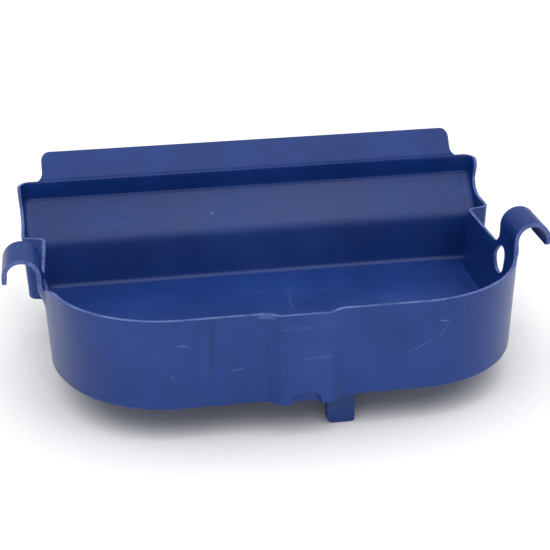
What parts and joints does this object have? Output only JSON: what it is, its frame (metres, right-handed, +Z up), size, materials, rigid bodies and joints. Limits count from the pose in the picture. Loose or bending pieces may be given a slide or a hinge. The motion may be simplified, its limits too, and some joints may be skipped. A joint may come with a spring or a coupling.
{
  "type": "hook-on feed trough",
  "caption": "Shallow plastic feed trough with rounded front corners, a stepped hanging back, side hooks that go over a rail and a locating lug below the front.",
  "frame": {"origin": "middle of the overall length and depth, at the level of the lowest point of the locating lug", "axes": "+X along the trough to its right-hand end, +Y from the front wall to the hanging back, +Z up"},
  "size_m": [0.491, 0.3356, 0.1539],
  "materials": {
    "moulded_polyethylene": "satin blue moulded polyethylene, paler where the rim was trimmed"
  },
  "bodies": {
    "root": {"floor_pan": "moulded_polyethylene", "bulge_foot": "moulded_polyethylene", "front_wall": "moulded_polyethylene", "left_end_wall": "moulded_polyethylene", "right_end_wall": "moulded_polyethylene", "left_cheek": "moulded_polyethylene", "right_cheek": "moulded_polyethylene", "back_panel": "moulded_polyethylene", "top_panel": "moulded_polyethylene", "left_rail_hook": "moulded_polyethylene", "right_rail_hook": "moulded_polyethylene", "locating_lug": "moulded_polyethylene"}
  },
  "joints": []
}
